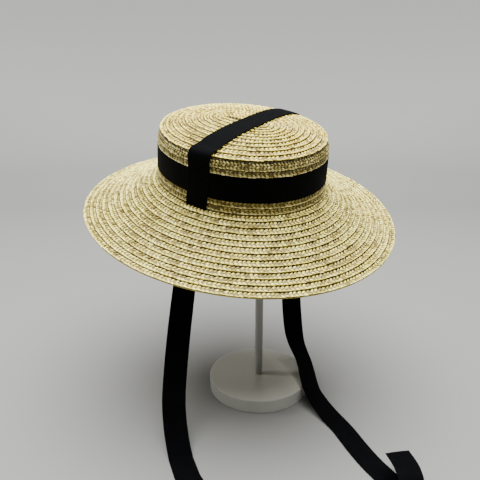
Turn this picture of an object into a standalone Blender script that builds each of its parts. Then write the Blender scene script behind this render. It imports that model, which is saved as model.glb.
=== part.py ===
"""Straw boater hat with a ribbon band, a strap and two ties, on a round display stand.

The origin is the centre of the stand's foot on the floor, with +Z up. The front of the hat
looks towards -Y, and the strap runs across it along X. All lengths are in metres.
"""

import math

import bmesh
import bpy
from mathutils import Euler, Matrix, Vector

# Straw plait, sewn row over row
STRAW_WALL = 0.0018
ROW_STEP = 0.0008
PIECE_GAP = 0.0003

# Crown: its foot, its upper edge and the domed tip
FOOT_HALF_ACROSS = 0.0876
FOOT_HALF_ALONG = 0.0973
EDGE_HALF_ACROSS = 0.0890
EDGE_HALF_ALONG = 0.0941
SIDE_HEIGHT = 0.0470
EDGE_HEIGHT = 0.0570
EDGE_INSET = 0.0020
TIP_RISE = 0.0091
TIP_FLATNESS = 3.4
SPIRAL_HALF_START = 0.0215
SIDE_ROWS = 7
TIP_ROWS = 11

# Brim: thirteen rows that slope down less and less towards the rim
BRIM_ROW = 0.0072
BRIM_ROWS = 13
BRIM_SLOPE_IN = math.radians(36.2)
BRIM_SLOPE_OUT = math.radians(12.6)
RIM_LIFT = 0.0020
RIM_TURN = math.radians(15)

# Ribbons
RIBBON_WIDTH = 0.0254
RIBBON_THICK = 0.0010
BAND_FOOT = 0.0131
BAND_WIDTH = 0.0274
SLIT_CLEARANCE = 0.0008
STRAP_TAIL = 0.0120
STRAP_LEFT_FORWARD = 0.0200
STRAP_RIGHT_BACK = 0.0015

# How the hat sits: its crown foot over the floor, tipped forward and to the right
HAT_HEIGHT = 0.2722
HAT_TO_RIGHT = 0.0096
HAT_TO_BACK = 0.0209
HAT_NOD = math.radians(9.6)
HAT_LEAN = math.radians(-10.1)
HAT_TURN = math.radians(-0.8)

# Stand
BASE_RADIUS = 0.0625
BASE_HEIGHT = 0.0172
BASE_ROUNDING = 0.0012
POST_RADIUS = 0.0049
HEAD_RADIUS = 0.0340
HEAD_ROUND = 0.0600
HEAD_RIM = 0.0040
HEAD_GAP = 0.0006

# Fineness of the round forms
SIDES = 48
POST_SIDES = 24
TIE_STEPS = 4

# Places where each tie hangs, from the strap's tail to the floor. "along" is a share of the
# level distance to its landing, "aside" is the same to the left of that way, and "height" is
# a share of the drop. "face" and "tilt" turn the ribbon's width, in degrees.
RIGHT_TIE_HANG = (
    # along, aside, height, face, tilt
    (0.00, 0.00, 1.000, 90, 9),
    (0.11, -0.07, 0.880, 94, 7),
    (0.20, -0.14, 0.694, 104, 4),
    (0.32, -0.21, 0.470, 114, 2),
    (0.45, -0.24, 0.290, 121, 0),
    (0.56, -0.23, 0.200, 126, 0),
    (0.67, -0.19, 0.122, 131, 0),
    (0.82, -0.11, 0.052, 136, 0),
)
LEFT_TIE_HANG = (
    # along, aside, height, face, tilt
    (0.00, 0.00, 1.000, 78, 9),
    (-0.05, 0.03, 0.860, 82, 8),
    (-0.05, 0.05, 0.640, 94, 7),
    (0.04, 0.04, 0.348, 108, 7),
    (0.12, 0.03, 0.208, 122, 9),
    (0.21, 0.02, 0.145, 136, 12),
    (0.36, 0.01, 0.107, 146, 17),
    (0.46, -0.01, 0.089, 150, 18),
    (0.63, -0.05, 0.059, 150, 14),
    (0.75, -0.04, 0.028, 146, 7),
    (0.87, -0.02, 0.008, 142, 2),
)

# Places where each tie lies: x and y are shares of the base's radius, and "rise" is how far
# the ribbon's middle stands over the floor, as a share of the height of the end's curl.
CURL_HEIGHT = 0.0232
RIGHT_TIE_LIES = (
    # x, y, rise, face, tilt
    (-2.64, 0.05, 0.00, 140, 0),
    (-2.80, -0.14, 0.00, 141, 0),
    (-2.95, -0.33, 0.00, 144, 0),
    (-3.06, -0.54, 0.00, 150, 0),
    (-3.13, -0.74, 0.00, 157, 0),
)
LEFT_TIE_LIES = (
    # x, y, rise, face, tilt
    (-0.51, -1.99, 0.00, 139, 0),
    (-0.87, -2.40, 0.00, 138, 0),
    (-1.12, -2.71, 0.00, 141, 0),
    (-1.33, -3.03, 0.00, 146, 0),
    (-1.47, -3.26, 0.02, 148, 0),
    (-1.58, -3.44, 0.22, 146, 0),
    (-1.60, -3.49, 0.52, 142, 0),
    (-1.54, -3.44, 0.84, 136, 0),
    (-1.35, -3.31, 1.00, 128, 0),
    (-1.11, -3.11, 1.00, 120, 0),
)


def clear_scene():
    for obj in list(bpy.data.objects):
        bpy.data.objects.remove(obj, do_unlink=True)


def new_collection(name):
    collection = bpy.data.collections.new(name)
    bpy.context.scene.collection.children.link(collection)
    return collection


def material(name, colour, roughness, sheen=0.0):
    made = bpy.data.materials.new(name)
    made.use_nodes = True
    shader = made.node_tree.nodes["Principled BSDF"]
    shader.inputs["Base Color"].default_value = (*colour, 1.0)
    shader.inputs["Roughness"].default_value = roughness
    shader.inputs["Metallic"].default_value = 0.0
    shader.inputs["Sheen Weight"].default_value = sheen
    return made


def object_from(name, bm, collection, finish, parent=None):
    """Closes the build of one piece: outward faces, smooth shading, its own material."""
    bmesh.ops.recalc_face_normals(bm, faces=bm.faces)
    mesh = bpy.data.meshes.new(name)
    bm.to_mesh(mesh)
    bm.free()
    mesh.shade_smooth()
    mesh.set_sharp_from_angle(angle=math.radians(40))
    mesh.materials.append(finish)
    obj = bpy.data.objects.new(name, mesh)
    obj.parent = parent
    collection.objects.link(obj)
    return obj


def loft(bm, rings, capped):
    """Joins point rings of equal count. The ends are capped, or meet each other in a loop."""
    made = [[bm.verts.new(point) for point in ring] for ring in rings]
    pairs = list(zip(made, made[1:]))
    if capped:
        bm.faces.new(made[0])
        bm.faces.new(made[-1])
    else:
        pairs.append((made[-1], made[0]))
    for lower, upper in pairs:
        for i in range(len(lower)):
            j = (i + 1) % len(lower)
            bm.faces.new((lower[i], lower[j], upper[j], upper[i]))


def share_of(low, high, share):
    return low + (high - low) * share


class Oval:
    """A level oval of the hat: half its width across and along, and how far the straight
    start of the spiral stretches it."""

    def __init__(self, across, along, height, stretch=0.0, wave=0.0):
        self.across, self.along = across, along
        self.height, self.stretch, self.wave = height, stretch, wave

    def ring(self, out=0.0, up=0.0):
        points = []
        for i in range(SIDES):
            turn = 2 * math.pi * i / SIDES
            c, s = math.cos(turn), math.sin(turn)
            fuller = math.tanh(2.2 * s) / math.tanh(2.2)
            x = (self.across + out) * c
            y = (self.along + out) * s + self.stretch * fuller
            z = self.height + up + self.wave * math.cos(2 * (turn + RIM_TURN))
            points.append(Vector((x, y, z)))
        return points


CORNER_ROW = SIDE_ROWS + 1
LAST_ROW = CORNER_ROW + TIP_ROWS - 0.35


def crown_oval(row):
    """The crown's mean surface, row by row: 0 is its foot, CORNER_ROW the edge of its tip."""
    if row <= SIDE_ROWS:
        height, inset = SIDE_HEIGHT * row / SIDE_ROWS, 0.0
    elif row <= CORNER_ROW:
        bend = row - SIDE_ROWS
        height = share_of(SIDE_HEIGHT, EDGE_HEIGHT, bend)
        inset = EDGE_INSET * bend**2
    if row <= CORNER_ROW:
        taper = height / EDGE_HEIGHT
        across = share_of(FOOT_HALF_ACROSS, EDGE_HALF_ACROSS, taper) - inset
        along = share_of(FOOT_HALF_ALONG, EDGE_HALF_ALONG, taper) - inset
        return Oval(across, along, height)
    inwards = (row - CORNER_ROW) / TIP_ROWS
    across = (EDGE_HALF_ACROSS - EDGE_INSET) * (1 - inwards)
    along = across + (EDGE_HALF_ALONG - EDGE_HALF_ACROSS)
    height = EDGE_HEIGHT + TIP_RISE * (1 - (1 - inwards) ** TIP_FLATNESS)
    spare = SPIRAL_HALF_START - (EDGE_HALF_ALONG - EDGE_HALF_ACROSS)
    return Oval(across, along, height, stretch=spare * inwards)


def brim_oval(row):
    """The brim's mean surface: row 0 meets the crown's foot, BRIM_ROWS is the rim."""
    out, down = 0.0, PIECE_GAP
    whole = int(row)
    for i in range(whole + 1):
        part = min(1.0, row - i)
        middle = (i + 0.5) / BRIM_ROWS
        slope = share_of(BRIM_SLOPE_IN, BRIM_SLOPE_OUT, middle)
        out += BRIM_ROW * math.cos(slope) * part
        down += BRIM_ROW * math.sin(slope) * part
    wave = RIM_LIFT * (row / BRIM_ROWS) ** 2
    return Oval(FOOT_HALF_ACROSS + out, FOOT_HALF_ALONG + out, -down, wave=wave)


def outward(oval_at, row, low, high):
    """The mean surface's outward direction at a row, in the across and up directions."""
    step = 0.02
    before, after = oval_at(max(low, row - step)), oval_at(min(high, row + step))
    across = after.across - before.across
    up = after.height - before.height
    length = math.hypot(across, up)
    return (up / length, -across / length)


def skin(oval_at, row, low, high, offset, flip=1.0):
    out, up = outward(oval_at, row, low, high)
    return oval_at(row).ring(out * offset * flip, up * offset * flip)


def build_crown(collection, seat, finish):
    """Shell whose rows lap like shingles: each row's lower edge stands proud of the next."""
    rings = []
    for row in range(CORNER_ROW):
        rings.append(skin(crown_oval, row, 0, LAST_ROW, ROW_STEP))
        if row == SIDE_ROWS:
            rings.append(skin(crown_oval, row + 0.5, 0, LAST_ROW, ROW_STEP * 0.6))
        rings.append(skin(crown_oval, row + 0.98, 0, LAST_ROW, 0.0))
    for row in range(CORNER_ROW, CORNER_ROW + TIP_ROWS):
        last = min(row + 1, LAST_ROW)
        rings.append(skin(crown_oval, row + 0.02, 0, LAST_ROW, ROW_STEP))
        rings.append(skin(crown_oval, last, 0, LAST_ROW, 0.0))
    inner_rows = [LAST_ROW, *range(CORNER_ROW + TIP_ROWS - 2, CORNER_ROW, -2)]
    inner_rows += [CORNER_ROW + 0.02, CORNER_ROW - 0.02, SIDE_ROWS + 0.5, SIDE_ROWS]
    inner_rows += [SIDE_ROWS / 2, 0]
    for row in inner_rows:
        rings.append(skin(crown_oval, row, 0, LAST_ROW, -STRAW_WALL))
    bm = bmesh.new()
    made = [[bm.verts.new(point) for point in ring] for ring in rings]
    outer_count = len(rings) - len(inner_rows)
    bm.faces.new(made[outer_count - 1])
    bm.faces.new(made[outer_count])
    for k in range(len(made)):
        lower, upper = made[k], made[(k + 1) % len(made)]
        if k == outer_count - 1:
            continue
        for i in range(SIDES):
            j = (i + 1) % SIDES
            bm.faces.new((lower[i], lower[j], upper[j], upper[i]))
    return object_from("crown", bm, collection, finish, seat)


def build_brim(collection, seat, finish, cutters):
    """Sloping shell of shingled rows, cut for the strap on both sides of the crown."""
    rings = []
    for row in range(BRIM_ROWS):
        rings.append(skin(brim_oval, row + 0.02, 0, BRIM_ROWS, 0.0, -1.0))
        rings.append(skin(brim_oval, row + 1, 0, BRIM_ROWS, ROW_STEP, -1.0))
    for row in range(BRIM_ROWS, -1, -2):
        rings.append(skin(brim_oval, row, 0, BRIM_ROWS, -STRAW_WALL, -1.0))
    rings.append(skin(brim_oval, 0, 0, BRIM_ROWS, -STRAW_WALL, -1.0))
    bm = bmesh.new()
    loft(bm, rings, capped=False)
    brim = object_from("brim", bm, collection, finish, seat)
    bowed = FOOT_HALF_ACROSS - math.sqrt(FOOT_HALF_ACROSS**2 - (RIBBON_WIDTH / 2) ** 2)
    inner = -3 * STRAW_WALL - bowed
    outer = ROW_STEP + PIECE_GAP + RIBBON_THICK + SLIT_CLEARANCE
    for side, name in ((1, "left"), (-1, "right")):
        bpy.ops.mesh.primitive_cube_add(size=1.0)
        cutter = bpy.context.active_object
        cutter.name = "slit_cutter_" + name
        cutter.scale = (outer - inner, RIBBON_WIDTH + 2 * SLIT_CLEARANCE, 4 * STRAP_TAIL)
        place, heading = tail_place(side, (outer + inner) / 2)
        cutter.location = place
        cutter.rotation_euler = (0, 0, heading)
        cutter.parent = seat
        cutter.hide_render = True
        cutter.display_type = "WIRE"
        for owner in list(cutter.users_collection):
            owner.objects.unlink(cutter)
        cutters.objects.link(cutter)
        cut = brim.modifiers.new("slit_" + name, "BOOLEAN")
        cut.operation = "DIFFERENCE"
        cut.solver = "EXACT"
        cut.object = cutter
    return brim


def build_band(collection, seat, finish):
    inner = ROW_STEP + PIECE_GAP
    outer = inner + RIBBON_THICK
    foot = crown_oval(BAND_FOOT / SIDE_HEIGHT * SIDE_ROWS)
    top = crown_oval((BAND_FOOT + BAND_WIDTH) / SIDE_HEIGHT * SIDE_ROWS)
    bm = bmesh.new()
    rings = [foot.ring(inner), foot.ring(outer), top.ring(outer), top.ring(inner)]
    loft(bm, rings, capped=False)
    return object_from("crown_band", bm, collection, finish, seat)


def strap_route():
    """Stations of the strap from its tail under the brim to the middle of the tip. Each has
    an oval to follow, the outward direction there and the ribbon's distance from the straw."""
    half = RIBBON_THICK / 2
    on_straw = ROW_STEP + PIECE_GAP + half
    on_band = on_straw + RIBBON_THICK + PIECE_GAP
    lead = 2 * RIBBON_THICK
    foot = crown_oval(0)
    route = []
    for height in (-STRAP_TAIL, -STRAP_TAIL / 2, 0.0):
        route.append((Oval(foot.across, foot.along, height), (1.0, 0.0), on_straw))
    band_top = BAND_FOOT + BAND_WIDTH
    for height, clear in (
        (BAND_FOOT - 2 * lead, on_straw),
        (BAND_FOOT - lead / 2, on_band),
        (BAND_FOOT + BAND_WIDTH / 2, on_band),
        (band_top + lead / 2, on_band),
        (share_of(band_top, SIDE_HEIGHT, 0.98), share_of(on_straw, on_band, 0.5)),
    ):
        route.append((crown_oval(height / SIDE_HEIGHT * SIDE_ROWS), (1.0, 0.0), clear))
    for row in (CORNER_ROW - 0.65, CORNER_ROW - 0.35):
        route.append((crown_oval(row), outward(crown_oval, row, 0, LAST_ROW), on_straw))
    wall_out, wall_up = outward(crown_oval, CORNER_ROW - 0.04, 0, LAST_ROW)
    tip_out, tip_up = outward(crown_oval, CORNER_ROW + 0.04, 0, LAST_ROW)
    halfway = math.hypot(wall_out + tip_out, wall_up + tip_up)
    out, up = (wall_out + tip_out) / halfway, (wall_up + tip_up) / halfway
    route.append((crown_oval(CORNER_ROW), (out, up), on_straw / (out * tip_out + up * tip_up)))
    for row in range(CORNER_ROW + 1, CORNER_ROW + TIP_ROWS):
        route.append((crown_oval(row), outward(crown_oval, row, 0, LAST_ROW), on_straw))
    tip = crown_oval(LAST_ROW)
    route.append((Oval(0.0, tip.along, tip.height), (0.0, 1.0), on_straw))
    return route


def wall_point(oval, y, out):
    """Where the hat's wall, or its tip's edge, lies across at a distance y along the hat."""
    along = max(oval.along, EDGE_HALF_ALONG - EDGE_INSET) + out
    return (oval.across + out) * math.sqrt(1 - (y / along) ** 2)


def tail_place(side, clear):
    """Middle and heading of a tail of the strap, beside the crown's foot."""
    y = -STRAP_LEFT_FORWARD if side > 0 else STRAP_RIGHT_BACK
    foot = crown_oval(0)
    x = wall_point(foot, y, 0.0)
    heading = math.atan2(y / foot.along**2, x / foot.across**2)
    out = Vector((math.cos(heading), math.sin(heading), 0))
    place = Vector((x, y, 0)) + out * clear
    return Vector((side * place.x, place.y, 0)), side * heading


def ribbon_section(middle, width, normal):
    """Six points round a ribbon's section."""
    points = []
    for side in (1, -1):
        lift = normal * (side * RIBBON_THICK / 2)
        for across in (-side, 0, side):
            points.append(middle + width * (RIBBON_WIDTH / 2 * across) + lift)
    return points


def build_strap(collection, seat, finish):
    """The strap lies a little aslant: its left end is further forward than its right."""
    half_route = strap_route()
    stations = [(1, *station) for station in half_route]
    stations += [(-1, *station) for station in half_route[-2::-1]]
    lengths = [0.0]
    for first, second in zip(stations, stations[1:]):
        across = first[0] * first[1].across - second[0] * second[1].across
        lengths.append(lengths[-1] + math.hypot(across, first[1].height - second[1].height))
    sections = []
    for (side, oval, (out, up), clear), length in zip(stations, lengths):
        share = (length - STRAP_TAIL) / (lengths[-1] - 2 * STRAP_TAIL)
        middle = share_of(-STRAP_LEFT_FORWARD, STRAP_RIGHT_BACK, min(1, max(0, share)))
        section = []
        for face in (1, -1):
            off = clear + face * RIBBON_THICK / 2
            for across in (-face, 0, face):
                y = middle + across * RIBBON_WIDTH / 2
                x = side * wall_point(oval, y, out * off)
                section.append(Vector((x, y, oval.height + up * off)))
        sections.append(section)
    bm = bmesh.new()
    loft(bm, sections, capped=True)
    return object_from("crown_strap", bm, collection, finish, seat)


def smooth_rows(rows):
    """Reads a smooth curve through the rows' own points, every column alike."""
    padded = [rows[0], *rows, rows[-1]]
    made = []
    for i in range(1, len(padded) - 2):
        a, b, c, d = padded[i - 1 : i + 3]
        for k in range(TIE_STEPS):
            t = k / TIE_STEPS
            made.append(
                [
                    0.5
                    * (
                        2 * q
                        + (r - p) * t
                        + (2 * p - 5 * q + 4 * r - s) * t**2
                        + (3 * q - p - 3 * r + s) * t**3
                    )
                    for p, q, r, s in zip(a, b, c, d)
                ]
            )
    made.append(list(rows[-1]))
    return made


def build_tie(name, side, hang, lies, hat, collection, finish):
    """One tie: out of the strap's tail, down in a slack curve, then along the floor."""
    floor = RIBBON_THICK / 2 + PIECE_GAP
    tail, heading = tail_place(side, ROW_STEP + PIECE_GAP + RIBBON_THICK / 2)
    start = hat @ (tail - Vector((0, 0, STRAP_TAIL + PIECE_GAP)))
    below = hat @ (tail - Vector((0, 0, STRAP_TAIL * 1.5 + PIECE_GAP)))
    landing = Vector((lies[0][0] * BASE_RADIUS, lies[0][1] * BASE_RADIUS, floor))
    way = landing - below
    level = Vector((way.x, way.y, 0))
    aside = Vector((-level.y, level.x, 0))
    rows = []
    for along, off, height, face, tilt in hang:
        place = below + level * along + aside * off
        rows.append([place.x, place.y, share_of(floor, below.z, height), face, tilt])
    for x, y, rise, face, tilt in lies:
        rows.append([x * BASE_RADIUS, y * BASE_RADIUS, floor + rise * CURL_HEIGHT, face, tilt])
    route = smooth_rows(rows)
    for row in route:
        row[2] = max(row[2], floor)
    turn = hat.to_3x3()
    first_width = turn @ Vector((-math.sin(heading), math.cos(heading), 0))
    first_normal = turn @ Vector((math.cos(heading), math.sin(heading), 0))
    sections = [ribbon_section(start, first_width, first_normal)]
    for i, (x, y, z, face, tilt) in enumerate(route):
        before = Vector(route[i - 1][:3]) if i else start
        after = Vector(route[min(i + 1, len(route) - 1)][:3])
        along = (after - before).normalized()
        face, tilt = math.radians(face), math.radians(tilt)
        width = Vector((math.cos(face), math.sin(face), math.tan(tilt)))
        width = (width - along * along.dot(width)).normalized()
        sections.append(ribbon_section(Vector((x, y, z)), width, along.cross(width)))
    bm = bmesh.new()
    loft(bm, sections, capped=True)
    return object_from(name, bm, collection, finish)


def crown_underside(x, y):
    """Height of the crown's inner skin over its foot, inside the tip's edge."""
    across = EDGE_HALF_ACROSS - EDGE_INSET
    along = EDGE_HALF_ALONG - EDGE_INSET
    share = math.hypot(x / across, y / along)
    return EDGE_HEIGHT + TIP_RISE * (1 - share**TIP_FLATNESS) - STRAW_WALL


def head_drop(radius):
    return HEAD_ROUND - math.sqrt(HEAD_ROUND**2 - radius**2)


def head_top(hat):
    """Highest place for the stand's round head that still clears the tipped crown."""
    best = None
    for i in range(-30, 31):
        for j in range(-30, 31):
            x, y = i / 30 * HEAD_RADIUS * 2, j / 30 * HEAD_RADIUS * 2
            place = hat @ Vector((x, y, crown_underside(x, y)))
            reach = math.hypot(place.x, place.y)
            if reach > HEAD_RADIUS:
                continue
            height = place.z + head_drop(reach) - HEAD_GAP
            best = height if best is None else min(best, height)
    return best


def build_stand(collection, hat, finish):
    bpy.ops.mesh.primitive_cylinder_add(
        vertices=SIDES, radius=BASE_RADIUS, depth=BASE_HEIGHT, location=(0, 0, BASE_HEIGHT / 2)
    )
    base = bpy.context.active_object
    base.name = "stand_base"
    rounding = base.modifiers.new("rounded_edges", "BEVEL")
    rounding.width = BASE_ROUNDING
    rounding.segments = 2
    rounding.limit_method = "ANGLE"
    rounding.angle_limit = math.radians(60)

    top = head_top(hat)
    rim = top - head_drop(HEAD_RADIUS)
    foot = BASE_HEIGHT + PIECE_GAP
    reach = rim - HEAD_RIM - PIECE_GAP - foot
    bpy.ops.mesh.primitive_cylinder_add(
        vertices=POST_SIDES, radius=POST_RADIUS, depth=reach, location=(0, 0, foot + reach / 2)
    )
    post = bpy.context.active_object
    post.name = "stand_post"

    profile = bmesh.new()
    arc = [(HEAD_RADIUS * k / 5, top - head_drop(HEAD_RADIUS * k / 5)) for k in range(6)]
    arc += [(HEAD_RADIUS, rim - HEAD_RIM), (0.0, rim - HEAD_RIM)]
    points = [profile.verts.new((x, 0, z)) for x, z in arc]
    for first, second in zip(points, points[1:]):
        profile.edges.new((first, second))
    mesh = bpy.data.meshes.new("stand_head")
    profile.to_mesh(mesh)
    profile.free()
    head = bpy.data.objects.new("stand_head", mesh)
    bpy.context.scene.collection.objects.link(head)
    turned = head.modifiers.new("turned", "SCREW")
    turned.axis = "Z"
    turned.steps = POST_SIDES
    turned.render_steps = POST_SIDES
    turned.use_merge_vertices = True
    turned.merge_threshold = 0.0001

    for obj in (base, post, head):
        obj.data.materials.clear()
        obj.data.materials.append(finish)
        obj.data.shade_smooth()
        obj.data.set_sharp_from_angle(angle=math.radians(40))
        for owner in list(obj.users_collection):
            owner.objects.unlink(obj)
        collection.objects.link(obj)


def main():
    clear_scene()
    parts = new_collection("straw_boater_hat")
    cutters = new_collection("cutters")
    crown_straw = material("crown_straw", (0.72, 0.60, 0.34), 0.55)
    brim_straw = material("brim_straw", (0.74, 0.62, 0.36), 0.55)
    band_ribbon = material("band_ribbon", (0.010, 0.011, 0.014), 0.80, sheen=0.2)
    strap_ribbon = material("strap_ribbon", (0.010, 0.011, 0.014), 0.80, sheen=0.2)
    tie_ribbon = material("tie_ribbon", (0.010, 0.011, 0.014), 0.80, sheen=0.2)
    stand_paint = material("stand_paint", (0.62, 0.61, 0.57), 0.35)

    seat = bpy.data.objects.new("hat_seat", None)
    parts.objects.link(seat)
    place = (-HAT_TO_RIGHT, HAT_TO_BACK, HAT_HEIGHT)
    tip = Euler((HAT_NOD, HAT_LEAN, HAT_TURN))
    seat.location = place
    seat.rotation_euler = tip
    hat = Matrix.Translation(place) @ tip.to_matrix().to_4x4()

    build_crown(parts, seat, crown_straw)
    build_brim(parts, seat, brim_straw, cutters)
    build_band(parts, seat, band_ribbon)
    build_strap(parts, seat, strap_ribbon)
    build_tie("left_tie", 1, LEFT_TIE_HANG, LEFT_TIE_LIES, hat, parts, tie_ribbon)
    build_tie("right_tie", -1, RIGHT_TIE_HANG, RIGHT_TIE_LIES, hat, parts, tie_ribbon)
    build_stand(parts, hat, stand_paint)


main()
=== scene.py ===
# %% [markdown]
# # A straw boater hat on its stand
#
# This lesson dresses a plain model of a hat until it looks like straw, ribbon and paint.
# The plain model, called the frame here, already has every size right. Each cell below
# takes one piece of the real hat, says how such a thing is made, and then makes it.
# All lengths are in metres. The front of the hat looks towards -Y and +Z is up.

# %% Load the frame and keep its box
import math

import bmesh
import bpy
import numpy as np
from mathutils import Euler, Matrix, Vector


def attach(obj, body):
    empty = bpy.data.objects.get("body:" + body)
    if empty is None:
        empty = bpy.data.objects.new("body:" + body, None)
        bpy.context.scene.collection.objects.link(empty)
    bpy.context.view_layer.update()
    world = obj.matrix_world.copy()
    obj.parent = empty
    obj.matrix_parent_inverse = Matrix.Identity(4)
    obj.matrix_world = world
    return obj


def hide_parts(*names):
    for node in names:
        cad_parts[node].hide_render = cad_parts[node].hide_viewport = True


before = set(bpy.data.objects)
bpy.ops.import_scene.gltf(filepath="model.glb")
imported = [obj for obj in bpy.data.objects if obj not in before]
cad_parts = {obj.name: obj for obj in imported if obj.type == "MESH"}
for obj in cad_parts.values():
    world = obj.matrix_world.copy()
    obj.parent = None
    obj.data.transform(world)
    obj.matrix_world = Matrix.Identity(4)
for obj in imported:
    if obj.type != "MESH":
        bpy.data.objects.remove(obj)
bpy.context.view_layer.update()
print("pieces in the frame:", sorted(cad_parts))

# %% [markdown]
# ## The camera
#
# The hat was photographed from its right side, from a little above, with a normal lens.
# A camera can be placed by eye or by a constraint that aims it. Here its place, its
# downward tilt and its compass turn are typed in, because they were measured, and that
# keeps the view the same on every run.

# %% Camera
CAMERA_PLACE = (-0.5240, -0.2750, 0.3865)
CAMERA_DOWN = math.radians(17.79)
CAMERA_COMPASS = math.radians(-60)
CAMERA_LENS = 39.2

camera_data = bpy.data.cameras.new("photo_camera")
camera_data.sensor_width = 36.0
camera_data.lens = CAMERA_LENS
camera_data.clip_start = 0.01
camera = bpy.data.objects.new("photo_camera", camera_data)
camera.location = CAMERA_PLACE
camera.rotation_euler = (math.pi / 2 - CAMERA_DOWN, 0, CAMERA_COMPASS)
bpy.context.scene.collection.objects.link(camera)
bpy.context.scene.camera = camera
print("camera at", CAMERA_PLACE, "with a lens of", CAMERA_LENS, "mm")

# %% [markdown]
# ## How the hat sits
#
# A boater is easiest to build upright, with the foot of its crown at height zero, and to
# tip over as a whole afterwards. The three angles below are that tipping: a nod forward,
# a lean to the wearer's right and a very small turn. Blender's Euler makes a matrix of
# them, and every piece of the hat goes through it.

# %% Seat of the hat
HAT_PLACE = (-0.0096, 0.0209, 0.2722)
HAT_NOD = math.radians(9.6)
HAT_LEAN = math.radians(-10.1)
HAT_TURN = math.radians(-0.8)

SEAT_TURN = np.array(Euler((HAT_NOD, HAT_LEAN, HAT_TURN)).to_matrix())
SEAT_PLACE = np.array(HAT_PLACE)


def seated(points):
    """Takes points from the upright hat to the tipped one."""
    return points @ SEAT_TURN.T + SEAT_PLACE


print("the crown's foot is", HAT_PLACE[2], "above the floor")

# %% [markdown]
# ## The rows of straw
#
# A hat of this kind is sewn from one long plait. The sewer starts in the middle of the
# top, with a short straight piece, and goes round and round, lapping each row over the
# last. So the hat is a stack of ovals, one for each row. A row number, which may have a
# fraction, is turned here into half widths and a height: the crown counts up from its
# foot, and the brim counts outwards from there. Numpy does the sums for whole rows at
# once, which is much faster than a loop over points.

# %% Sizes of the rows
STRAW_WALL = 0.0018
FOOT_ACROSS, FOOT_ALONG = 0.0876, 0.0973
EDGE_ACROSS, EDGE_ALONG = 0.0890, 0.0941
SIDE_HEIGHT, EDGE_HEIGHT, EDGE_INSET = 0.0470, 0.0570, 0.0020
TIP_RISE, TIP_FLATNESS = 0.0091, 3.4
SPIRAL_START, SPIRAL_FULLNESS = 0.0215, 2.2
SIDE_ROWS, TIP_ROWS = 7, 11
CORNER_ROW = SIDE_ROWS + 1
LAST_ROW = CORNER_ROW + TIP_ROWS - 0.02
BRIM_ROW, BRIM_ROWS = 0.0072, 13
BRIM_SLOPE_IN, BRIM_SLOPE_OUT = math.radians(36.2), math.radians(12.6)
RIM_LIFT, RIM_TURN = 0.0020, math.radians(15)
PIECE_GAP = 0.0003


def crown_sizes(row):
    """Half width across, half width along, height and stretch of a row of the crown."""
    row = np.asarray(row, float)
    bend = np.clip(row - SIDE_ROWS, 0, 1)
    height = np.where(
        row <= SIDE_ROWS,
        SIDE_HEIGHT * row / SIDE_ROWS,
        SIDE_HEIGHT + (EDGE_HEIGHT - SIDE_HEIGHT) * bend,
    )
    taper = height / EDGE_HEIGHT
    across = FOOT_ACROSS + (EDGE_ACROSS - FOOT_ACROSS) * taper - EDGE_INSET * bend**2
    along = FOOT_ALONG + (EDGE_ALONG - FOOT_ALONG) * taper - EDGE_INSET * bend**2
    inwards = np.clip((row - CORNER_ROW) / TIP_ROWS, 0, 1)
    on_tip = row > CORNER_ROW
    tip_across = (EDGE_ACROSS - EDGE_INSET) * (1 - inwards)
    tip_along = tip_across + EDGE_ALONG - EDGE_ACROSS
    tip_height = EDGE_HEIGHT + TIP_RISE * (1 - (1 - inwards) ** TIP_FLATNESS)
    spare = SPIRAL_START - (EDGE_ALONG - EDGE_ACROSS)
    return (
        np.where(on_tip, tip_across, across),
        np.where(on_tip, tip_along, along),
        np.where(on_tip, tip_height, height),
        np.where(on_tip, spare * inwards, 0.0),
    )


def brim_sizes(row):
    """The same four sizes for a row of the brim, which slopes less and less outwards."""
    row = np.asarray(row, float)
    out, down = np.zeros_like(row), np.full_like(row, PIECE_GAP)
    for i in range(BRIM_ROWS):
        part = np.clip(row - i, 0, 1)
        share = (i + 0.5) / BRIM_ROWS
        slope = BRIM_SLOPE_IN + (BRIM_SLOPE_OUT - BRIM_SLOPE_IN) * share
        out += BRIM_ROW * math.cos(slope) * part
        down += BRIM_ROW * math.sin(slope) * part
    return FOOT_ACROSS + out, FOOT_ALONG + out, -down, np.zeros_like(row)


print("rim:", [round(2 * float(size), 4) for size in brim_sizes(BRIM_ROWS)[:2]])

# %% [markdown]
# ## A point anywhere on the straw
#
# Any point of the hat is now given by three numbers: its turn round the oval, its row and
# how far it stands off the mean surface. That is the same idea as a UV map with a height.
# The direction off the surface is the cross product of two small steps, one round the
# oval and one across the rows.

# %% Surface of the hat
SMALL_STEP = 0.02


def oval_points(sizes, turn, wave):
    """Points of an oval. The stretch draws its two halves apart along the hat, and the
    wave lifts it at two opposite sides."""
    across, along, height, stretch = sizes
    fuller = np.tanh(SPIRAL_FULLNESS * np.sin(turn)) / math.tanh(SPIRAL_FULLNESS)
    x = across * np.cos(turn)
    y = along * np.sin(turn) + stretch * fuller
    z = height + wave * np.cos(2 * (turn + RIM_TURN))
    return np.stack(np.broadcast_arrays(x, y, z), axis=-1)


def crown_surface(turn, row):
    return oval_points(crown_sizes(row), turn, 0.0)


def brim_surface(turn, row):
    return oval_points(brim_sizes(row), turn, RIM_LIFT * (row / BRIM_ROWS) ** 2)


def off_surface(surface, turn, row, off, low, high):
    """Points at a distance off a surface, on the side that faces outwards and up."""
    place = surface(turn, row)
    before, after = np.maximum(row - SMALL_STEP, low), np.minimum(row + SMALL_STEP, high)
    up_rows = surface(turn, after) - surface(turn, before)
    round_oval = surface(turn + SMALL_STEP, row) - surface(turn - SMALL_STEP, row)
    normal = np.cross(round_oval, up_rows)
    normal /= np.maximum(np.linalg.norm(normal, axis=-1, keepdims=True), 1e-12)
    if surface is brim_surface:
        normal = -normal
    return place + normal * np.asarray(off)[..., None]


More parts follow.
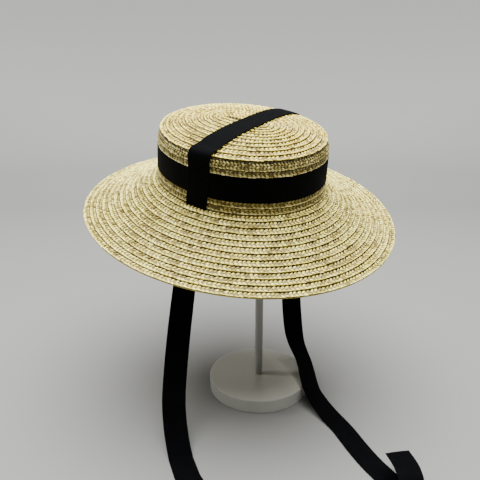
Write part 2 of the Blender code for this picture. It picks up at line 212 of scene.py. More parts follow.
sample = off_surface(crown_surface, np.array([0.0]), np.array([3.0]), 0.001, 0, LAST_ROW)
print("a point on the crown's side:", np.round(sample[0], 4))

# %% [markdown]
# ## One plait, many floats
#
# The plait itself is braided from flattened wheat straws. What the eye sees of each straw
# is a float: a short domed lozenge that dips under its neighbours at both ends. One way
# to show it is a bump texture, but then the edge of every row is a smooth line and the
# gaps hold no shade. So each float is a small grid of real faces. Three kinds repeat along
# a row: an upper one that leans one way, a lower one that leans the other way, and a
# short one where the straw folds back at the row's free edge, painted paler as a painted
# highlight. The row that turns the corner of the crown is wider and has four floats across
# it and a fold. The side that faces the head is hardly seen, so two plain kinds are enough
# there.

# %% Shape of the floats
PLAIT_PITCH = 0.0043
WIDE_PITCH = 0.0036
ROW_WIDTH = 0.0072
TUCKED_OFF = -0.0015
FREE_OFF = -0.0001

# start and end along the row are shares of the pitch, start and end across are shares of
# the row's width from its tucked edge, and half width, bulge and lift are in millimetres
FLOAT_KINDS = {
    "upper": dict(along=(-0.46, 0.44), across=(0.52, -0.12), half=1.46, bulge=0.66, lift=0.30),
    "lower": dict(along=(-0.36, 0.46), across=(0.57, 0.92), half=1.13, bulge=0.63, lift=0.22),
    # The fold's extra tone is a painted highlight on the row's free edge.
    "fold": dict(
        along=(-0.62, 0.60), across=(0.88, 0.96), half=0.62, bulge=0.72, lift=0.38, painted_highlight=0.26
    ),
}
WIDE_KINDS = {
    "high": dict(along=(-0.46, 0.44), across=(0.27, -0.08), half=1.15, bulge=0.56, lift=0.28),
    "second": dict(along=(-0.40, 0.46), across=(0.27, 0.50), half=1.00, bulge=0.52, lift=0.20),
    "third": dict(along=(-0.46, 0.44), across=(0.74, 0.52), half=1.00, bulge=0.52, lift=0.20),
    "low": dict(along=(-0.40, 0.46), across=(0.74, 0.95), half=1.00, bulge=0.52, lift=0.22),
    "fold": dict(along=(-0.52, 0.50), across=(0.92, 0.98), half=0.50, bulge=0.62, lift=0.30),
}
UNDER_KINDS = {
    "upper": dict(along=(-0.46, 0.44), across=(0.60, -0.10), half=1.60, bulge=0.60, lift=0.30),
    "lower": dict(along=(-0.46, 0.44), across=(0.42, 0.98), half=1.50, bulge=0.60, lift=0.25),
}
FINE_GRID = dict(
    across=(-1.0, -0.70, 0.0, 0.70, 1.0),
    dome=(0.0, 0.74, 1.0, 0.74, 0.0),
    along=(-1.0, -0.60, 0.0, 0.60, 1.0),
    dip=(0.05, 0.80, 1.0, 0.80, 0.05),
    width=(0.34, 0.90, 1.0, 0.88, 0.44),
)
PLAIN_GRID = dict(
    across=(-1.0, -0.5, 0.5, 1.0),
    dome=(0.0, 0.9, 0.9, 0.0),
    along=(-1.0, -0.5, 0.5, 1.0),
    dip=(0.05, 0.95, 0.95, 0.05),
    width=(0.5, 1.0, 1.0, 0.5),
)
print("kinds of float:", ", ".join(FLOAT_KINDS))

# %% [markdown]
# ## Laying a row
#
# To lay floats evenly the row's true length is needed, so the oval is measured first and
# turned into a table from length to turn. Straws in one plait are never quite alike. Each
# float gets its own small change of place, width and height, and a tone for the paint.
# The tone also drifts slowly along the row, as one bundle of straw gives way to the next.
# All chance comes from one seeded source, so the hat is the same every time.

# %% Lay floats along a row
chance = np.random.default_rng(21)
# how far straws differ: place, lift and roll in metres, shift in row widths, the rest in shares
NOISE = dict(
    place=0.00022, width=0.07, bulge=0.16, lift=0.00008, roll=0.00022, shift=0.020, tone=0.34, hue=0.14
)
DRIFT_SPREAD, TONE_REACH, HUE_REACH = 0.10, 9.0, 14.0


def turn_table(surface, row):
    """Length along a row, and the turn at each of those lengths."""
    turn = np.linspace(0, 2 * math.pi, 721)
    points = surface(turn, np.full_like(turn, row))
    steps = np.linalg.norm(np.diff(points, axis=0), axis=1)
    return np.concatenate([[0.0], np.cumsum(steps)]), turn


def slow_drift(count, reach):
    """A smooth closed wander between 0 and 1, with one value for each float."""
    raw = chance.normal(size=count)
    k = np.fft.rfftfreq(count) * reach
    smooth = np.fft.irfft(np.fft.rfft(raw) * np.exp(-(k**2)), count)
    spread = max(float(np.std(smooth)), 1e-9)
    return np.clip(0.5 + smooth / spread * DRIFT_SPREAD, 0, 1)


def lay_row(
    surface, limits, row_at, kinds=FLOAT_KINDS, row_width=ROW_WIDTH, under=False, goal=PLAIT_PITCH
):
    """Points, tones and straw coordinates of one row's floats. row_at turns a share across
    the plait, from the tucked edge at 0 to the free edge at 1, into a row number."""
    grid = PLAIN_GRID if under else FINE_GRID
    side, wall = (-1.0, STRAW_WALL) if under else (1.0, 0.0)
    lengths, turns = turn_table(surface, row_at(0.5))
    whole = lengths[-1]
    count = max(8, round(whole / goal))
    pitch = whole / count
    start = chance.uniform(0, pitch)
    drift, hue = slow_drift(count, TONE_REACH), slow_drift(count, HUE_REACH)
    n, m = len(grid["along"]), len(grid["across"])
    laid = []
    for form in kinds.values():
        middle = start + (np.arange(count) + 0.5) * pitch + chance.normal(0, NOISE["place"], count)
        width = form["half"] / 1000 * pitch / goal * chance.normal(1, NOISE["width"], count)
        high = form["bulge"] / 1000 * chance.normal(1, NOISE["bulge"], count)
        lift = form["lift"] / 1000 + chance.normal(0, NOISE["lift"], count)
        roll = chance.normal(0, NOISE["roll"], count)
        shift = chance.normal(0, NOISE["shift"], count)
        s0, s1 = (share * pitch for share in form["along"])
        t0, t1 = (share * row_width for share in form["across"])
        run = math.hypot(s1 - s0, t1 - t0)
        ds, dt = (s1 - s0) / run, (t1 - t0) / run
        u = (np.array(grid["along"])[:, None] + 1) / 2 * np.ones((1, m))
        v = np.array(grid["across"])[None, :] * np.array(grid["width"])[:, None]
        v_real = v[None] * width[:, None, None]
        along = s0 + (s1 - s0) * u[None] - dt * v_real
        across = t0 + (t1 - t0) * u[None] + ds * v_real
        across = across / row_width + shift[:, None, None]
        dome = np.array(grid["dip"])[:, None] * np.array(grid["dome"])[None, :]
        off = TUCKED_OFF + (FREE_OFF - TUCKED_OFF) * np.clip(across, -0.1, 1.05)
        off = off + lift[:, None, None] * dome[None] ** 0.5 + high[:, None, None] * dome[None]
        off = side * (off + roll[:, None, None] * v[None]) - wall
        turn = np.interp((middle[:, None, None] + along) % whole, lengths, turns)
        row = row_at(np.clip(across, -0.25, 1.06))
        points = off_surface(surface, turn, row, off, *limits)
        straw = np.stack([u[None] * run + 0 * along, v_real], -1)
        straw = straw + chance.uniform(0, 1, (count, 1, 1, 2))
        # A kind's extra tone, used by the fold, is a painted highlight.
        tone = drift + form.get("painted_highlight", 0.0) + chance.normal(0, NOISE["tone"], count)
        laid.append(
            dict(
                points=points.reshape(-1, 3),
                shape=(count, n, m),
                straw=straw.reshape(-1, 2),
                tone=np.repeat(np.clip(tone, 0, 1), n * m),
                hue=np.repeat(np.clip(hue + chance.normal(0, NOISE["hue"], count), 0, 1), n * m),
                lap=across.reshape(-1),
                dome=np.tile(dome.reshape(-1), count),
            )
        )
    return laid


trial = lay_row(brim_surface, (0, BRIM_ROWS), lambda t: 5 + t)
print("floats in one row of the brim:", sum(part["shape"][0] for part in trial))

# %% [markdown]
# ## From numbers to a mesh
#
# A bmesh makes faces one by one, which is slow for a quarter of a million of them. The
# mesh's own arrays can be filled in one go, so the grids are joined with numpy first.
# Tone, hue, the place across the plait and the height on the dome are kept as
# attributes, and the straw's own length and width as a UV map, so that the paint can
# follow every single straw.

# %% Join the floats into one piece
def grid_faces(count, n, m, first):
    """Quads of a number of equal grids, each n by m points."""
    i, j = np.meshgrid(np.arange(n - 1), np.arange(m - 1), indexing="ij")
    corner = (i * m + j).ravel()
    quad = np.stack([corner, corner + 1, corner + m + 1, corner + m], -1)
    return (first + np.arange(count)[:, None, None] * n * m + quad[None]).reshape(-1, 4)


def mesh_piece(name, points, quads, values, lay, finish):
    """A mesh object from plain arrays, smooth shaded, with its attributes and UV map."""
    mesh = bpy.data.meshes.new(name)
    mesh.vertices.add(len(points))
    mesh.vertices.foreach_set("co", points.astype(np.float32).ravel())
    mesh.loops.add(quads.size)
    mesh.loops.foreach_set("vertex_index", quads.astype(np.int32).ravel())
    mesh.polygons.add(len(quads))
    mesh.polygons.foreach_set("loop_start", np.arange(0, quads.size, 4, dtype=np.int32))
    mesh.update(calc_edges=True)
    for key, value in values.items():
        attribute = mesh.attributes.new(key, "FLOAT", "POINT")
        attribute.data.foreach_set("value", value.astype(np.float32))
    uv = mesh.uv_layers.new(name="lay")
    uv.data.foreach_set("uv", lay[quads.ravel()].astype(np.float32).ravel())
    mesh.shade_smooth()
    mesh.materials.append(finish)
    obj = bpy.data.objects.new(name, mesh)
    bpy.context.scene.collection.objects.link(obj)
    return obj


STRAW_VALUES = ("tone", "hue", "lap", "dome")


def plait_piece(name, rows, finish, flip):
    """Joins laid rows into one object. flip turns the faces of a row laid the other way."""
    parts = [part for row in rows for part in row]
    points = np.concatenate([part["points"] for part in parts])
    quads, first = [], 0
    for part in parts:
        count, n, m = part["shape"]
        quads.append(grid_faces(count, n, m, first))
        first += count * n * m
    quads = np.concatenate(quads)
    if flip:
        quads = quads[:, ::-1]
    values = {key: np.concatenate([part[key] for part in parts]) for key in STRAW_VALUES}
    straw = np.concatenate([part["straw"] for part in parts])
    obj = mesh_piece(name, seated(points), quads, values, straw, finish)
    print(name, "has", 2 * len(quads), "triangles")
    return obj

# %% [markdown]
# ## The paint of the straw
#
# Ripe wheat straw is pale yellow with a waxy shine. Some straws are greener, some are
# warmer, and each has fine fibres along its length. A flat colour would make plastic, so
# the paint turns the straw's tone into a colour and tints the result by its hue. The
# fibres are a noise texture stretched along the straw, and they also roughen and lift the
# surface a little. Where a row is tucked under the next one, and round the rim of each
# float, the colour is darker: that is painted shade. At a row's free edge it is a little
# lighter: that is a painted highlight. The crown's top is a little warmer than the brim,
# and its side is painted darker, as painted shade on its upright rows, so there are three
# paints.

# %% Straw paint
FIBRE_SCALE = (260, 2600, 1)


def new_material(name):
    made = bpy.data.materials.new(name)
    made.use_nodes = True
    return made, made.node_tree.nodes, made.node_tree.links, made.node_tree.nodes["Principled BSDF"]


def ramp(nodes, stops):
    node = nodes.new("ShaderNodeValToRGB")
    while len(node.color_ramp.elements) < len(stops):
        node.color_ramp.elements.new(0.5)
    for element, (place, colour) in zip(node.color_ramp.elements, stops):
        element.position = place
        element.color = (*colour, 1.0)
    return node


def mixed(nodes, links, blend, factor, first, second):
    node = nodes.new("ShaderNodeMix")
    node.data_type = "RGBA"
    node.blend_type = blend
    for socket, value in ((0, factor), (6, first), (7, second)):
        if isinstance(value, bpy.types.NodeSocket):
            links.new(value, node.inputs[socket])
        else:
            node.inputs[socket].default_value = value
    return node.outputs[2]


def straw_paint(name, shade, painted_gap_shade):
    made, nodes, links, shader = new_material(name)
    attributes = {}
    for key in STRAW_VALUES:
        attributes[key] = nodes.new("ShaderNodeAttribute")
        attributes[key].attribute_name = key
    tone = ramp(
        nodes,
        (
            (0.0, (0.20, 0.15, 0.03)),
            (0.3, (0.48, 0.40, 0.095)),
            (0.7, (0.80, 0.70, 0.19)),
            (1.0, (0.95, 0.87, 0.32)),
        ),
    )
    links.new(attributes["tone"].outputs["Fac"], tone.inputs["Fac"])
    hue = ramp(
        nodes,
        (
            (0.0, (0.84, 0.97, 0.60)),
            (0.35, (0.97, 1.0, 0.90)),
            (0.80, (1.0, 0.99, 0.96)),
            (1.0, (1.06, 0.93, 0.86)),
        ),
    )
    links.new(attributes["hue"].outputs["Fac"], hue.inputs["Fac"])
    tinted = mixed(nodes, links, "MULTIPLY", 0.8, tone.outputs["Color"], hue.outputs["Color"])

    uv = nodes.new("ShaderNodeUVMap")
    uv.uv_map = "lay"
    stretch = nodes.new("ShaderNodeMapping")
    stretch.inputs["Scale"].default_value = FIBRE_SCALE
    links.new(uv.outputs["UV"], stretch.inputs["Vector"])
    fibre = nodes.new("ShaderNodeTexNoise")
    fibre.inputs["Scale"].default_value = 1.0
    fibre.inputs["Detail"].default_value = 4.0
    links.new(stretch.outputs["Vector"], fibre.inputs["Vector"])
    streak = ramp(nodes, ((0.30, (0.66, 0.62, 0.55)), (0.62, (1.0, 1.0, 1.0))))
    links.new(fibre.outputs["Fac"], streak.inputs["Fac"])
    streaked = mixed(nodes, links, "MULTIPLY", 0.75, tinted, streak.outputs["Color"])

    # Painted shade in the lap, where a row is tucked under the next one, and a painted highlight at the
    # row's free edge.
    lap_shade_and_highlight = ramp(
        nodes,
        (
            (0.08, painted_gap_shade),
            (0.17, (0.36, 0.34, 0.31)),
            (0.28, (0.90, 0.90, 0.87)),
            (0.78, (0.93, 0.93, 0.91)),
            (0.92, (1.09, 1.10, 1.12)),
        ),
    )
    links.new(attributes["lap"].outputs["Fac"], lap_shade_and_highlight.inputs["Fac"])
    lap_shaded = mixed(nodes, links, "MULTIPLY", 1.0, streaked, lap_shade_and_highlight.outputs["Color"])
    # Painted shade round the rim of each float.
    rim_shade = ramp(nodes, ((0.0, (0.32, 0.30, 0.26)), (0.60, (0.86, 0.84, 0.74)), (0.90, (1.0, 1.0, 1.0))))
    links.new(attributes["dome"].outputs["Fac"], rim_shade.inputs["Fac"])
    rim_shaded = mixed(nodes, links, "MULTIPLY", 1.0, lap_shaded, rim_shade.outputs["Color"])
    shaded = mixed(nodes, links, "MULTIPLY", 1.0, rim_shaded, (*shade, 1.0))
    links.new(shaded, shader.inputs["Base Color"])

    gloss = nodes.new("ShaderNodeMapRange")
    gloss.inputs["To Min"].default_value = 0.20
    gloss.inputs["To Max"].default_value = 0.44
    links.new(fibre.outputs["Fac"], gloss.inputs["Value"])
    links.new(gloss.outputs["Result"], shader.inputs["Roughness"])
    bump = nodes.new("ShaderNodeBump")
    bump.inputs["Strength"].default_value = 0.35
    bump.inputs["Distance"].default_value = 0.00025
    links.new(fibre.outputs["Fac"], bump.inputs["Height"])
    links.new(bump.outputs["Normal"], shader.inputs["Normal"])
    shader.inputs["Specular IOR Level"].default_value = 0.50
    shader.inputs["Specular Tint"].default_value = (1.0, 0.93, 0.60, 1.0)
    return made


# The third colour of each paint is the painted shade in the lap between rows.
CROWN_STRAW = straw_paint("crown_straw", (1.01, 0.93, 0.60), (0.08, 0.06, 0.08))
# The crown's side is painted darker: painted shade on its upright rows.
SIDE_STRAW_SHADED = straw_paint("crown_side_straw_shaded", (0.51, 0.495, 0.64), (0.07, 0.065, 0.10))
BRIM_STRAW = straw_paint("brim_straw", (0.965, 0.95, 0.87), (0.06, 0.055, 0.09))
print("straw paints:", CROWN_STRAW.name, BRIM_STRAW.name)

# %% [markdown]
# ## The cloth of plait behind the floats
#
# Between the floats there are small gaps, and through them shows the next layer of the
# plait, in shade. A thin stepped shell just under the floats does that work, and its outer
# side is painted darker as painted shade. It follows the same rows, so it also has their
# steps, and it closes the hat from inside. The deep side of each step gets the darker
# painted shade of a tucked straw, which draws the dark line between two rows. Where the
# strap passes through the brim, the shell is open in two slits.

# %% Shells under the floats
SHELL_SIDES = 192
SHELL_SINK = 0.0001
DEEP_OFF = -0.0012
SHELL_GIRTH, RING_STEP = 0.55, 0.003
CROWN_FOOT = -0.2


def shell_rings(surface, limits, stations):
    """Rings of points for a list of rows and distances off the surface."""
    turn = np.arange(SHELL_SIDES) * 2 * math.pi / SHELL_SIDES
    rings = []
    for row, off in stations:
        rows = np.full_like(turn, row)
        rings.append(off_surface(surface, turn, rows, np.full_like(turn, off), *limits))
    return np.array(rings)


def shell_piece(name, surface, limits, outer, inner, finish, flip, openings=()):
    """A closed shell from its outer rings, then back along its inner rings."""
    rings = shell_rings(surface, limits, outer + inner)
    n, m = rings.shape[:2]
    i, j = np.meshgrid(np.arange(n), np.arange(m), indexing="ij")
    quads = np.stack(
        [i * m + j, i * m + (j + 1) % m, (i + 1) % n * m + (j + 1) % m, (i + 1) % n * m + j], -1
    ).reshape(-1, 4)
    points = rings.reshape(-1, 3)
    centres = points[quads].mean(1)
    keep = np.ones(len(quads), bool)
    for x0, x1, y0, y1 in openings:
        inside = (centres[:, 0] > x0) & (centres[:, 0] < x1)
        inside &= (centres[:, 1] > y0) & (centres[:, 1] < y1)
        keep &= ~inside
    quads = quads[keep]
    if flip:
        quads = quads[:, ::-1]
    girth = np.linspace(0, SHELL_GIRTH, m, endpoint=False)
    straw = np.stack(np.broadcast_arrays(girth[None, :], np.arange(n)[:, None] * RING_STEP), -1)
    # Painted shade: the shell's outer rings, seen through the gaps, are darker than its inner ones, and
    # the deep side of each step is darkest.
    shown = np.repeat(np.arange(n) < len(outer), m)
    deep_shaded = shown & np.repeat([off < DEEP_OFF for row, off in outer + inner], m)
    values = {
        "tone": np.where(deep_shaded, 0.0, np.where(shown, 0.25, 0.4)),
        "hue": np.full(n * m, 0.5),
        "lap": np.where(deep_shaded, 0.03, np.where(shown, 0.16, 0.5)),
        "dome": np.where(deep_shaded, 0.2, np.where(shown, 0.3, 0.9)),
    }
    obj = mesh_piece(name, seated(points), quads, values, straw.reshape(-1, 2), finish)
    print(name, "has", 2 * len(quads), "triangles")
    return obj


def lap_off(across):
    """How far the shell stands off the surface, from a row's tucked edge to its free one."""
    return TUCKED_OFF + (FREE_OFF - TUCKED_OFF) * across - SHELL_SINK


crown_outer, brim_outer = [(CROWN_FOOT, 0.0008)], []
for row in range(CORNER_ROW + TIP_ROWS):
    top = min(row + 1, LAST_ROW)
    for share in (0.0, 0.5, 0.97):
        crown_outer.append((row + share * (top - row), lap_off(1 - share)))
inner_rows = (LAST_ROW, 17, 15, 13, 11, 9.5, 8.6, 8.1, 7.6, 7, 4, CROWN_FOOT)
crown_inner = [(row, -STRAW_WALL) for row in inner_rows]
for row in range(BRIM_ROWS):
    for share in (0.03, 0.5, 1.0):
        brim_outer.append((row + share, lap_off(share)))
brim_inner = [(row, -STRAW_WALL) for row in range(BRIM_ROWS, -1, -1)]

STRAP_LEFT_Y, STRAP_RIGHT_Y = -0.0200, 0.0015
SLIT_HALF = 0.0136
SLIT_INNER, SLIT_OUTER = 0.0790, 0.0905
slits = [
    (SLIT_INNER, SLIT_OUTER, STRAP_LEFT_Y - SLIT_HALF, STRAP_LEFT_Y + SLIT_HALF),
    (-SLIT_OUTER, -SLIT_INNER, STRAP_RIGHT_Y - SLIT_HALF, STRAP_RIGHT_Y + SLIT_HALF),
]
crown_shell = shell_piece(
    "crown_shell", crown_surface, (-1, LAST_ROW), crown_outer, crown_inner, CROWN_STRAW, False
)
brim_shell = shell_piece(
    "brim_shell", brim_surface, (0, BRIM_ROWS), brim_outer, brim_inner, BRIM_STRAW, True, slits
)

# %% [markdown]
# ## Sewing the hat
#
# Now the rows are laid. On the crown, the free edge of each row is its lower edge; on the
# top, it is the outer one. On the brim it is the outer edge too, so every row throws its
# shade on the next one down. The side of the crown, its top, its lining, the two halves
# of the brim and its underside are separate pieces, which keeps each of them light enough
# to edit. Four rows of the crown's side are wholly under the band. They are left out, so
# that the band can lie as close as a real one does.

# %% Lay every row
def crown_rows(rows, under=False):
    """Rows of the crown. Seen from outside, a row's free edge is the lower or outer one."""
    laid = []
    for row in rows:
        top = min(row + 1.0, LAST_ROW)
        kinds, row_width, goal = FLOAT_KINDS, ROW_WIDTH, PLAIT_PITCH
        if row == SIDE_ROWS:
            kinds, row_width, goal = WIDE_KINDS, EDGE_HEIGHT - SIDE_HEIGHT, WIDE_PITCH
        if under:
            kinds = UNDER_KINDS
            row_at = lambda t, r=row, w=top - row: r + t * w
        else:
            row_at = lambda t, r=row, w=top - row: r + (1 - t) * w
        laid.append(lay_row(crown_surface, (0, LAST_ROW), row_at, kinds, row_width, under, goal))
    return laid


def brim_rows(rows, under=False):
    """Rows of the brim, where the free edge is the outer one, or from below the inner one."""
    laid = []
    for row in rows:
        if under:
            row_at = lambda t, r=row: r + 1 - t
        else:
            row_at = lambda t, r=row: r + t
        kinds = UNDER_KINDS if under else FLOAT_KINDS
        laid.append(lay_row(brim_surface, (0, BRIM_ROWS), row_at, kinds, under=under))
    return laid


ALL_CROWN = range(CORNER_ROW + TIP_ROWS)
SHOWN_SIDE = (0, 1, 6, 7)
straw_pieces = [
    plait_piece("crown_side_plait", crown_rows(SHOWN_SIDE), SIDE_STRAW_SHADED, False),
    plait_piece("crown_top_plait", crown_rows(ALL_CROWN[CORNER_ROW:]), CROWN_STRAW, False),
    plait_piece("crown_lining_plait", crown_rows(ALL_CROWN, True), CROWN_STRAW, False),
    plait_piece("brim_inner_plait", brim_rows(range(7)), BRIM_STRAW, True),
    plait_piece("brim_outer_plait", brim_rows(range(7, BRIM_ROWS)), BRIM_STRAW, True),
    plait_piece("brim_under_plait", brim_rows(range(BRIM_ROWS), True), BRIM_STRAW, True),
]

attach(crown_shell, "root")
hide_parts("crown")
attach(brim_shell, "root")
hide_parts("brim")
for piece in straw_pieces:
    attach(piece, "root")

# %% [markdown]
# ## The paint of the ribbons
#
# The ribbons are a matt black tape. Black cloth is never pure black: it is a very dark
# grey, a little blue here, and it has a soft sheen at its edges where loose fibres catch
# light. The weave is fine ribs across the tape, made by a wave texture that reads the
# UV map in metres, so its pitch is real. A slow noise breaks up the roughness.

# %% Ribbon paint
RIB_PITCH = 0.0006


def ribbon_paint(name):
    made, nodes, links, shader = new_material(name)
    uv = nodes.new("ShaderNodeUVMap")
    uv.uv_map = "lay"
    ribs = nodes.new("ShaderNodeTexWave")
    ribs.inputs["Scale"].default_value = 2 * math.pi / 20 / RIB_PITCH
    ribs.inputs["Distortion"].default_value = 0.7
    ribs.inputs["Detail"].default_value = 2.0
    links.new(uv.outputs["UV"], ribs.inputs["Vector"])
    cloud = nodes.new("ShaderNodeTexNoise")
    cloud.inputs["Scale"].default_value = 90.0
    cloud.inputs["Detail"].default_value = 5.0
    links.new(uv.outputs["UV"], cloud.inputs["Vector"])
    shade = ramp(nodes, ((0.30, (0.0004, 0.00045, 0.0006)), (0.75, (0.0013, 0.0015, 0.0020))))
    links.new(cloud.outputs["Fac"], shade.inputs["Fac"])
    rib_shade = ramp(nodes, ((0.0, (0.55, 0.55, 0.55)), (0.6, (1.0, 1.0, 1.0))))
    links.new(ribs.outputs["Fac"], rib_shade.inputs["Fac"])
    cloth = mixed(nodes, links, "MULTIPLY", 1.0, shade.outputs["Color"], rib_shade.outputs["Color"])
    links.new(cloth, shader.inputs["Base Color"])
    rough = nodes.new("ShaderNodeMapRange")
    rough.inputs["To Min"].default_value = 0.78
    rough.inputs["To Max"].default_value = 0.95
    links.new(cloud.outputs["Fac"], rough.inputs["Value"])
    links.new(rough.outputs["Result"], shader.inputs["Roughness"])
    bump = nodes.new("ShaderNodeBump")
    bump.inputs["Strength"].default_value = 0.5
    bump.inputs["Distance"].default_value = 0.00012
    links.new(ribs.outputs["Fac"], bump.inputs["Height"])
    links.new(bump.outputs["Normal"], shader.inputs["Normal"])
    shader.inputs["Specular IOR Level"].default_value = 0.025
    shader.inputs["Sheen Weight"].default_value = 0.006
    shader.inputs["Sheen Roughness"].default_value = 0.5
    shader.inputs["Sheen Tint"].default_value = (0.70, 0.80, 1.0, 1.0)
    return made


RIBBON_PAINT = {name: ribbon_paint(name) for name in ("band_ribbon", "strap_ribbon", "tie_ribbon")}
print("ribbon paints:", ", ".join(RIBBON_PAINT))

# %% [markdown]
# ## A ribbon from its middle surface
#
# Cloth as thin as this can be a single sheet of faces with a Solidify modifier. Here the
# edges matter, because a woven tape has a slightly thicker selvedge, so the thickness is
# given for each thread line across: first the outer face, then back along the inner one.
# Its length is measured on the finished curve and printed.

# %% Make one ribbon
CLOTH_THICK = 0.0005
ACROSS = np.array([-1, -0.985, -0.93, -0.86, -0.5, 0, 0.5, 0.86, 0.93, 0.985, 1])
EDGE_THICK = np.array([0.35, 1.15, 1.35, 1.0, 1.0, 1.0, 1.0, 1.0, 1.35, 1.15, 0.35])


def ribbon_piece(name, slot, middles, normals, width):
    """A closed ribbon. middles and normals are grids: places along, then places across."""
    n, m = middles.shape[:2]
    thick = normals * (CLOTH_THICK / 2 * EDGE_THICK)[None, :, None]
    points = np.concatenate([middles + thick, (middles - thick)[:, ::-1]], axis=1)
    i, j = np.meshgrid(np.arange(n - 1), np.arange(2 * m), indexing="ij")
    first, second = i * 2 * m, (i + 1) * 2 * m
    after = (j + 1) % (2 * m)
    quads = [np.stack([first + j, first + after, second + after, second + j], -1).reshape(-1, 4)]
    j = np.arange(m - 1)
    cap = np.stack([j, 2 * m - 1 - j, 2 * m - 2 - j, j + 1], -1)
    quads += [cap, cap[:, ::-1] + (n - 1) * 2 * m]
    quads, points = np.concatenate(quads), points.reshape(-1, 3)
    a, b, c, d = (points[quads[:, k]] for k in range(4))
    if np.sum(a * np.cross(b, c)) + np.sum(a * np.cross(c, d)) < 0:
        quads = quads[:, ::-1]
    steps = np.linalg.norm(np.diff(middles[:, m // 2], axis=0), axis=1)
    run = np.concatenate([[0.0], np.cumsum(steps)])
    across = np.concatenate([ACROSS, ACROSS[::-1]]) * width / 2
    lay = np.stack(np.broadcast_arrays(run[:, None], across[None, :]), -1).reshape(-1, 2)
    piece = mesh_piece(name, points, quads, {}, lay, RIBBON_PAINT[slot])
    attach(piece, "root")
    print(name, "is", round(1000 * run[-1]), "mm long and has", 2 * len(quads), "triangles")
    return piece


# %% [markdown]
# ## The band
#
# The band goes once round the crown and a little further, and its cut end is sewn down
# over its start. So the path is an open one: it starts beside the strap, goes round, and
# in its last stretch climbs over itself by one thickness of cloth. It also sinks a very
# little between two rows of straw. A second grid of points, a nudge further out, gives
# the direction that the cloth's thickness takes.

# %% Band round the crown
BAND_FOOT, BAND_WIDTH = 0.0131, 0.0274
BAND_OFF, BAND_CLIMB, BAND_WAVE = 0.00055, 0.00055, 0.00008
BAND_SEAM = math.radians(-159)
BAND_OVERLAP = math.radians(10)
NUDGE = 0.001

turn = np.linspace(BAND_SEAM - BAND_OVERLAP, BAND_SEAM + 2 * math.pi, 300)
end = turn[-1]
climb = np.interp(turn, (end - 1.5 * BAND_OVERLAP, end - 1.05 * BAND_OVERLAP), (0, BAND_CLIMB))
height = BAND_FOOT + BAND_WIDTH * (0.5 + 0.5 * ACROSS)
turn_grid, row_grid = np.meshgrid(turn, height / SIDE_HEIGHT * SIDE_ROWS, indexing="ij")
off_grid = BAND_OFF + climb[:, None] + BAND_WAVE * np.cos(2 * math.pi * row_grid)
middles = off_surface(crown_surface, turn_grid, row_grid, off_grid, 0, LAST_ROW)
lifted = off_surface(crown_surface, turn_grid, row_grid, off_grid + NUDGE, 0, LAST_ROW)
normals = (lifted - middles) / NUDGE
band = ribbon_piece(
    "band_tape", "band_ribbon", seated(middles), normals @ SEAT_TURN.T, BAND_WIDTH,
)
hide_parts("crown_band")

# %% [markdown]
# ## The strap
#
# A second ribbon goes over the top of the hat and over the band, and its ends pass down
# through the brim. Its path is drawn once, from one end to the middle of the top: up the
# side, out over the band and back to the straw, round the crown's edge in a soft bend and
# along the top. The other half is its mirror image, except that the strap lies a little
# aslant, so its place along the hat changes evenly with the length.

# %% Path of the strap
RIBBON_WIDTH = 0.0254
STRAP_TAIL = 0.0120
ON_STRAW, ON_BAND = 0.0015, 0.0013
NEAR_BULGE, FAR_BULGE = 0.0028, 0.0003
BEND_REACH = 1.6


def slope_angle(row):
    """Angle of the outward direction over the level, in the plane across the hat."""
    before, after = crown_sizes(row - 0.03), crown_sizes(row + 0.03)
    return np.arctan2(before[0] - after[0], after[2] - before[2])


band_top = BAND_FOOT + BAND_WIDTH
tail_up = np.linspace(-STRAP_TAIL, 0, 5)[:-1]
wall_up = np.linspace(0, SIDE_HEIGHT, 48)
wall_clear = np.interp(
    wall_up,
    (BAND_FOOT - 0.0035, BAND_FOOT - 0.0004, band_top + 0.0004, band_top + 0.0050),
    (ON_STRAW, ON_BAND, ON_BAND, ON_STRAW),
)
edge_rows = SIDE_ROWS + np.linspace(0.1, 0.93, 7)
bend = np.linspace(slope_angle(CORNER_ROW - 0.05), slope_angle(CORNER_ROW + 0.05), 6)
tip_rows = np.linspace(CORNER_ROW + 0.1, LAST_ROW, 60)

rows = np.concatenate(
    [0 * tail_up, wall_up / SIDE_HEIGHT * SIDE_ROWS, edge_rows, 0 * bend + CORNER_ROW, tip_rows]
)
angle = np.concatenate(
    [0 * tail_up, 0 * wall_up, slope_angle(edge_rows), bend, slope_angle(tip_rows)]
)
clear = np.full_like(rows, ON_STRAW)
clear[len(tail_up) : len(tail_up) + len(wall_up)] = wall_clear
across, along, up, stretch = crown_sizes(rows)
up[: len(tail_up)] = tail_up
side = np.ones_like(rows)
bulge = np.cos(np.clip((rows - CORNER_ROW) / BEND_REACH, -1, 1) * math.pi / 2) ** 2
half = np.stack([side, across, along, up, angle, clear, bulge])
middle_station = np.array([[1, 0, along[-1], up[-1], math.pi / 2, ON_STRAW, 0]]).T
mirror = half[:, ::-1] * np.array([[-1, 1, 1, 1, 1, 1, 1]]).T
whole_path = np.concatenate([half, middle_station, mirror], axis=1)
side, across, along, up, angle, clear, bulge = whole_path
clear += bulge * np.where(side < 0, NEAR_BULGE, FAR_BULGE)
print("places along the strap:", len(side))

# %% [markdown]
# Each place gets a row of points across the ribbon. At a distance along the hat, the
# wall and the tip curve inwards like their oval, and the ribbon follows them. A tape that
# is only held at its ends doesn't fold at a corner but goes round it in a wide bend. So
# each place near that corner is averaged with its neighbours a few times.

# %% Strap over the crown
EASING_ROUNDS = 24


def wall_across(across, along, y, out):
    reach = np.maximum(along, EDGE_ALONG - EDGE_INSET) + out
    return (across + out) * np.sqrt(1 - (y / reach) ** 2)


def eased(grid, share):
    """Rounds a path off where share is above zero."""
    soft = grid.copy()
    for _ in range(EASING_ROUNDS):
        soft[1:-1] = (soft[:-2] + 2 * soft[1:-1] + soft[2:]) / 4
    return grid + (soft - grid) * share[:, None, None]


